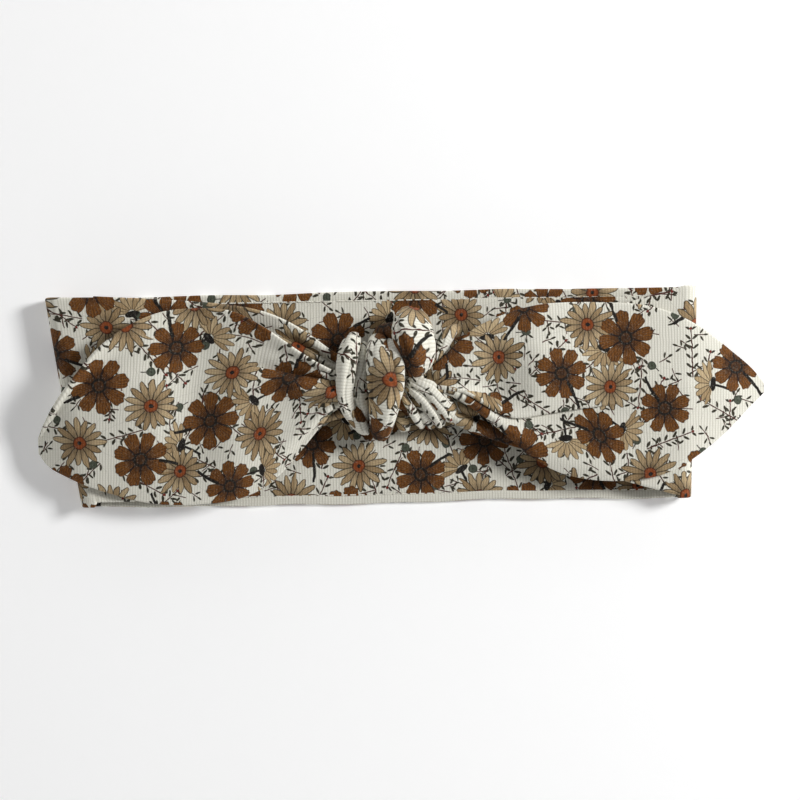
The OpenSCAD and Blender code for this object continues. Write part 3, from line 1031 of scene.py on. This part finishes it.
def full_flower(net, x, y, pick, size, colour):
    """A brown flower with eight broad, veined petals."""
    radius = 6.2 + 1.2 * size
    r, number, f = polar(net, x, y, 8.0)
    lobes = 0.025 * net.maths("COSINE", f * 19.0)
    edge = 0.99 - 0.4 * (abs(f) * 2) ** 3.6 + lobes
    here = pick > 0.14
    mask = net.smooth(radius * edge - r, -0.12, 0.12) * here
    vein = net.maths("SINE", f * 44.0) * 0.5 + 0.5
    rim = net.smooth((0.5 - abs(f)) * r * 0.7, 0.3, 0.08) * (r > 1.8)
    grain = net.grain(net.point(x, y, number), 1.4)
    base = net.smooth(r, 4.6, 1.8)
    shade = vein * vein * (0.44 + base * 0.36) + rim * 0.8 + (grain - 0.4) * 1.1 + base * 0.36
    shade = shade + net.smooth(radius * edge - r, 0.4, 0.1) * 0.35
    petal = net.mix(BROWN, DARK_BROWN, shade)
    ring = net.smooth(r, 1.95, 1.7) * net.smooth(r, 1.05, 1.35)
    petal = net.mix(petal, LINE, ring * 0.95 + net.smooth(r, 1.2, 0.3) * 0.4)
    colour = net.mix(colour, petal, mask)
    return net.mix(colour, LINE, stalk(net, x, y, 1.9 + 4.0 * size, 9.6, 0.42) * here)


def thin_petals(net, r, number, f, seed, petals, reach, longest):
    """The petal and outline masks of a daisy, each petal with its own length."""
    length, tone, _ = net.dice(number, seed, 3)
    length = reach + longest * length
    along = net.maths("MAXIMUM", net.maths("MINIMUM", (r - 0.9) / (length - 0.9), 1.0), 0.0)
    half = 0.9 * net.maths("SINE", along**1.2 * math.pi) ** 0.42
    room = half - abs(f) * r * (math.tau / petals)
    seam = net.smooth((0.5 - abs(f)) * r * (math.tau / petals), 0.2, 0.04)
    outline = net.maths("MAXIMUM", net.smooth(room, 0.34, 0.16), seam)
    return net.smooth(room, -0.06, 0.08), outline, tone


def daisy(net, x, y, pick, size, colour):
    """A tan daisy with an orange disc, seen from above."""
    r, number, f = polar(net, x, y, 15.0)
    petal, outline, tone = thin_petals(net, r, number, f, pick * 31.0, 15.0, 5.4, 2.0)
    here = pick > 0.12
    body = net.mix(TAN, PALE_TAN, tone)
    crease = net.maths("SINE", f * 25.0) * 0.5 + 0.5
    body = net.mix(body, DARK_BROWN, crease * crease * 0.3 + net.smooth(r, 4.2, 1.6) * 0.4)
    body = net.mix(body, LINE, outline * 0.85)
    colour = net.mix(colour, body, petal * here)
    disc = net.mix(ORANGE, DARK_BROWN, net.smooth(r, 1.2, 1.6) * 0.8)
    disc = net.mix(disc, LINE, net.smooth(r, 0.62, 0.4))
    return net.mix(colour, disc, net.smooth(r, 1.75, 1.6) * here)


def side_daisy(net, x, y, pick, size, colour):
    """A tan daisy seen from the side, on a stalk."""
    here = pick > 0.42
    r, number, f = polar(net, x, (y + 2.2) * 1.35, 17.0)
    petal, outline, tone = thin_petals(net, r, number, f, pick * 17.0, 17.0, 5.6, 1.8)
    up = net.smooth(y + 2.6 - abs(x) * 0.12, -0.1, 0.2)
    body = net.mix(net.mix(TAN, PALE_TAN, tone), LINE, outline * 0.75)
    colour = net.mix(colour, LINE, stalk(net, x, y, 2.0, 8.6, 0.36) * here)
    colour = net.mix(colour, body, petal * up * here)
    cup = net.smooth(1.9 - net.maths("SQRT", x * x + (y + 2.6) * (y + 2.6) * 5.0), -0.1, 0.15)
    return net.mix(colour, LINE, cup * here)


def leaf_at(net, x, y, out, along, turn, long, wide):
    """A narrow leaf whose middle is out to both sides and along the stem."""
    c, s = math.cos(turn), math.sin(turn)
    dx, dy = abs(x) - out, y - along
    a, b = (dx * c + dy * s) / long, (dy * c - dx * s) / wide
    return net.smooth(1 - a * a - b * b, 0.0, 0.5)


def sprig(net, x, y, pick, size, colour):
    """A long stem with pairs of leaves and a berry on top."""
    here = (pick > 0.1) * (abs(y) < 8.6)
    step = 3.2
    level = y / step - net.maths("FLOOR", y / step)
    pair = leaf_at(net, x, (level - 0.5) * step, 1.25, 0.35, 0.75, 1.35, 0.5)
    pair = pair * (abs(x) < 2.6)
    stem = net.smooth(0.2 - abs(x), -0.08, 0.08)
    berry = net.smooth(0.5 - net.maths("SQRT", x * x + (y - 8.0) ** 2.0), -0.1, 0.15)
    colour = net.mix(colour, SPRIG, stem * here)
    colour = net.mix(colour, LEAF, pair * here)
    return net.mix(colour, BERRY, berry * here)


def twig(net, x, y, pick, size, colour):
    """A short stem with three leaves."""
    here = pick > 0.34
    pair = leaf_at(net, x, y, 1.3, 0.2, 0.6, 1.25, 0.42)
    top = leaf_at(net, x, y, 0.0, 1.9, 1.57, 1.15, 0.42)
    stem = net.smooth(0.18 - abs(x), -0.08, 0.08) * (abs(y) < 2.6)
    colour = net.mix(colour, SPRIG, stem * here)
    return net.mix(colour, LEAF, net.maths("MAXIMUM", pair, top) * here)


def bud(net, x, y, pick, size, colour):
    """A round bud on a short stalk."""
    here = pick > 0.3
    r = net.maths("SQRT", x * x + y * y)
    colour = net.mix(colour, LEAF, stalk(net, x, y, 1.0, 3.6, 0.22) * here)
    shade = net.mix(MOSS, LINE, net.smooth(r, 1.0, 1.6) * 0.5 + net.smooth(r, 0.5, 0.2) * 0.4)
    return net.mix(colour, shade, net.smooth(1.65 - r, -0.1, 0.15) * here)


# %% [markdown]
# ## The knit
# Rib knit is columns of V stitches. The rib is mostly a height, so it goes to the bump, and the
# grooves are also a little darker, since no light gets down there. The print lies on the rib
# and is broken up by it. Every stitch could be modelled as yarn, but at this distance that is
# far more mesh than the eye can use. A weak sheen stands for the short fibres of the cotton.

# %% Knit finishes
# Millimetres from rib to rib and from stitch to stitch.
RIB, STITCH = 0.86, 0.72


def printed_knit(name, bare_below=None):
    """The rib with its print. Past bare_below, across the flat cloth, it has no print."""
    net = Net(name)
    uv = net.node("UVMap", {"uv_map": "cloth"})
    split = net.node("SeparateXYZ", None, {0: uv})
    u, v = split * 10.0, split.out("Y") * 10.0
    wobble = net.grain(net.point(u, v), 0.25)
    across = u / RIB + (wobble - 0.5) * 0.5
    f = abs(across - net.maths("FLOOR", across) - 0.5) * 2
    vee = net.maths("SINE", (v / STITCH + f * 0.55) * math.tau) * 0.5 + 0.5
    height = (1 - f * f) * (0.72 + 0.28 * vee)
    c, s = math.cos(PRINT_TILT), math.sin(PRINT_TILT)
    a, b = u * c + v * s, v * c - u * s
    bend = net.grain(net.point(u, v, 9.0), 0.5, 2.0) - 0.5
    a, b = a + bend * 0.9, b - bend * 0.7
    plan = (
        (twig, 7.0, (0.2, 0.6), 11, 0.3, 0.84),
        (twig, 8.3, (0.7, 0.1), 12, 0.3, 0.84),
        (sprig, 17.0, (0.1, 0.35), 13, 0.12, 0.88),
        (sprig, 19.0, (0.6, 0.8), 14, 0.12, 0.88),
        (bud, 15.0, (0.4, 0.2), 15, 0.5, 0.8),
        (side_daisy, REPEAT, (0.5, 0.0), 16, 0.16, 1.15),
        (daisy, REPEAT, (0.5, 0.5), 17, 0.24, 1.2),
        (full_flower, REPEAT, (0.0, 0.0), 18, 0.16, 1.2),
    )
    print_over = IVORY
    for motif, cell, offset, seed, shift, scale in plan:
        x, y, pick, size = lattice(net, a, b, cell, offset, seed, shift, scale)
        print_over = motif(net, x, y, pick, size, print_over)
    if bare_below is not None:
        print_over = net.mix(IVORY, print_over, net.smooth(v, bare_below - 0.4, bare_below))
    worn = net.grain(net.point(u, v, 4.0), 2.4)
    faded = net.mix(print_over, IVORY, worn * 0.03 + net.smooth(worn, 0.54, 0.7) * 0.08)
    # Painted shade: the grooves between the ribs are multiplied toward a grey brown, for the light
    # that doesn't reach down there.
    depth = net.node("Mix", {"data_type": "RGBA", "blend_type": "MULTIPLY"},
                     {0: (1 - height) * 0.42, 6: faded, 7: ink(178, 171, 154)}, out=2)
    fuzz = net.grain(net.point(u * 3.0, v, 2.0), 3.0)
    bump = net.node("Bump", None, {"Strength": 0.5, "Distance": 0.00014,
                                   "Height": height + fuzz * 0.35})
    net.shader.inputs["Specular IOR Level"].default_value = 0.15
    return net.finish(base_color=depth, roughness=0.86 - 0.08 * height, normal=bump,
                      sheen_weight=0.02, sheen_roughness=0.5)


def thread_finish():
    """Pale twisted sewing thread."""
    net = Net("stitching_thread")
    place = net.node("TexCoord", None, None, out="Object")
    sockets = {"Vector": place, "Scale": 900.0}
    twist = net.node("TexWave", {"bands_direction": "DIAGONAL"}, sockets, out="Fac")
    # Painted light: the thread is paler on the ridges of its twist, where the bump is highest, and
    # darker in between.
    colour = net.mix(ink(214, 210, 196), ink(236, 233, 222), twist)
    bump = net.node("Bump", None, {"Strength": 0.5, "Distance": 0.0001, "Height": twist})
    return net.finish(base_color=colour, roughness=0.7, normal=bump, sheen_weight=0.1)


knit = printed_knit("printed_rib_knit")
BARE_EDGE = -31.8
edge_knit = printed_knit("bare_edge_rib_knit", bare_below=BARE_EDGE)
thread = thread_finish()
for name, piece in cloth.items():
    back_outer = name.startswith("back_") and "outer" in name
    piece.data.materials.append(edge_knit if back_outer else knit)
    "lining_knit" if "lining" in name else "printed_rib_knit"
for name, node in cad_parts.items():
    if name.endswith("_stitches"):
        node.data.materials.clear()
        node.data.materials.append(thread)
print("nodes in the knit:", len(knit.node_tree.nodes))

# %% [markdown]
# ## Moving with the model
# A piece that crosses a joint could be cut in two there, but the cut would gape as the joint turns.
# The back, the folds, the left arm and the tails stay where they were drawn, tied to no body.
# The right arm's end at the knot is the loop's open pivot: it rides on its arm alone, and the
# rolls of the knot ride on the knot.

# %% Rides
CROSS = 8.0
TAIL_BEND = 14
TAIL_ROOT = {"left": 0, "right": 8}


def place(x, z=1.0):
    """A point on the band's middle line, in metres."""
    return x * MM, 0.0, z * MM


for side in away:
    base, out = BASE[side], away[side]
    for ply_name in ("outer", "lining"):
        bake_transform(cloth[f"back_{side}_{ply_name}_ply"], "back_centre", f"back_{side}",
                 start=place(base - out * CROSS), end=place(base + out * CROSS))
        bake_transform(cloth[f"{side}_fold_{ply_name}_ply"], f"back_{side}", f"{side}_arm",
                 start=place(line_x[side], back_z + 0.8), end=place(line_x[side], arm_z - 0.8))
        arm = cloth[f"{side}_arm_{ply_name}_ply"]
        if side == "left":
            place(base + 3)
            place(base - 12)
            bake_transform(arm)
        else:
            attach(arm, "right_arm")
        root = base + TAIL_ROOT[side]
        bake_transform(cloth[f"{side}_tail_{ply_name}_ply"], "knot", f"{side}_tail",
                 start=place(root - out), end=place(root + out * TAIL_BEND))
for name in KNOT:
    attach(cloth[name], "knot")
print("pieces that move with the model:", len(cloth))

# %% Nodes that the cloth replaces
for side in away:
    for ply_name in ("outer", "lining"):
        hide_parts(f"back_{side}_{ply_name}",
                    f"back_centre_{ply_name}")
        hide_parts(f"{side}_fold_{ply_name}")
        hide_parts(f"{side}_arm_{ply_name}")
        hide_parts(f"{side}_tail_{ply_name}")
    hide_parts(f"{side}_tail_neck")
STANDS_FOR = {"knot_heart": "knot_core", "centre_wrap": "knot_centre_wrap",
              "left_wrap": "knot_left_wrap", "upper_bight": "knot_upper_bight",
              "fan_top_pleat": "knot_lower_fan"}
for name, node in STANDS_FOR.items():
    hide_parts(node)
print("rolls that stand for a node of the knot:", len(STANDS_FOR))

# %% [markdown]
# ## The flat size of each sheet
# A sheet's flat size could be copied from a pattern, but there is none here, so it is measured
# on the flat places that the ply was drawn with.

# %% Sheets
HELD = {"back": "laid", "fold": "folded", "arm": "gathered", "tail": "gathered"}
LIES_ON = {"back": [], "fold": [], "arm": ["back_left_lining", "back_right_lining"],
           "tail": ["left_arm_outer", "right_arm_outer"]}
for name, (width, length, area) in cut_size.items():
    part = next(word for word in HELD if word in name)
    side = "left" if "left" in name else "right"
    below = [node for node in LIES_ON[part] if side in node]
for name, (width, length, area) in cut_size.items():
    print(f"{name}: {width * 1000:.0f} x {length * 1000:.0f} mm, {area * 1e4:.1f} square cm")

# %% [markdown]
# ## Table, light and camera
# The band lies on a pale table inside a round, glowing backdrop, which lights it softly from
# all sides. One small bright light stands low on the right, so the pleats cast shadows to the
# left, and a weak wide one keeps those open. The camera looks straight down.

# %% Table and backdrop
WHITE = (1, 1, 1, 1)
TABLE_HALF = 3
WALL_R, WALL_H, WALL_SIDES = 2.9, 1.1, 64


def scenery(name, points, faces, finish):
    """Something that is seen with the band but isn't part of it."""
    mesh = bpy.data.meshes.new(name)
    mesh.from_pydata(points, [], faces)
    thing = bpy.data.objects.new(name, mesh)
    bpy.context.scene.collection.objects.link(thing)
    mesh.materials.append(finish)
    thing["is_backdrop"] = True


table_paint = Net("table_paint").finish(base_color=(0.95, 0.95, 0.95, 1), roughness=0.9,
                                        emission_color=WHITE, emission_strength=0.2)
corners = [(TABLE_HALF * x, TABLE_HALF * y, 0) for x, y in ((-1, -1), (1, -1), (1, 1), (-1, 1))]
scenery("table", corners, [(0, 1, 2, 3)], table_paint)
angles = np.linspace(0, math.tau, WALL_SIDES, endpoint=False)
ring = [(WALL_R * math.cos(a), WALL_R * math.sin(a), z) for z in (-0.01, WALL_H) for a in angles]
following = [(i + 1) % WALL_SIDES for i in range(WALL_SIDES)]
sides = [(i, j, WALL_SIDES + j, WALL_SIDES + i) for i, j in enumerate(following)]
wall_paint = Net("backdrop_paint").finish(emission_color=WHITE, emission_strength=0.8)
scenery("backdrop", ring, sides, wall_paint)
print(f"table {2 * TABLE_HALF} m wide, backdrop {WALL_H} m high")

# %% Light


def lamp(name, stand, size, power):
    """A square light that shines on the middle of the band."""
    data = bpy.data.lights.new(name, "AREA")
    data.size = size
    data.energy = power
    thing = bpy.data.objects.new(name, data)
    thing.location = stand
    way = -np.array(stand)
    thing.rotation_euler = (
        math.atan2(math.hypot(way[0], way[1]), -way[2]), 0, math.atan2(way[0], -way[1]) + math.pi)
    bpy.context.scene.collection.objects.link(thing)


lamp("key", (1.02, 0.34, 0.74), 0.30, 16)
lamp("fill", (-0.5, 0.1, 1.1), 0.8, 0.9)
world = bpy.data.worlds.new("studio")
world.use_nodes = True
sky = world.node_tree.nodes["Background"]
sky.inputs["Color"].default_value = WHITE
sky.inputs["Strength"].default_value = 0.09
bpy.context.scene.world = world
print("lights:", ", ".join(light.name for light in bpy.data.lights))

# %% Camera
# The width that the camera takes in, and the height of the cloth that it is set to, in metres.
VIEW, CLOTH_TOP = 0.240, 0.008
TURN = -1.1
lens = bpy.data.cameras.new("camera")
lens.lens = 85
lens.sensor_width = 36
camera = bpy.data.objects.new("camera", lens)
camera.location = (-0.0006, -0.0009, VIEW * lens.lens / lens.sensor_width + CLOTH_TOP)
camera.rotation_euler = (0, 0, math.radians(TURN))
bpy.context.scene.collection.objects.link(camera)
bpy.context.scene.camera = camera
bpy.context.scene.view_settings.view_transform = "Standard"
print(f"the camera stands {camera.location.z:.2f} m above the table")

# %% Finish
seen_low, seen_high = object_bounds()
for axis, a, b, c, e in zip("xyz", cad_low, cad_high, seen_low, seen_high):
    print(f"{axis}: model {a / MM:.1f}..{b / MM:.1f} mm, cloth {c / MM:.1f}..{e / MM:.1f} mm")
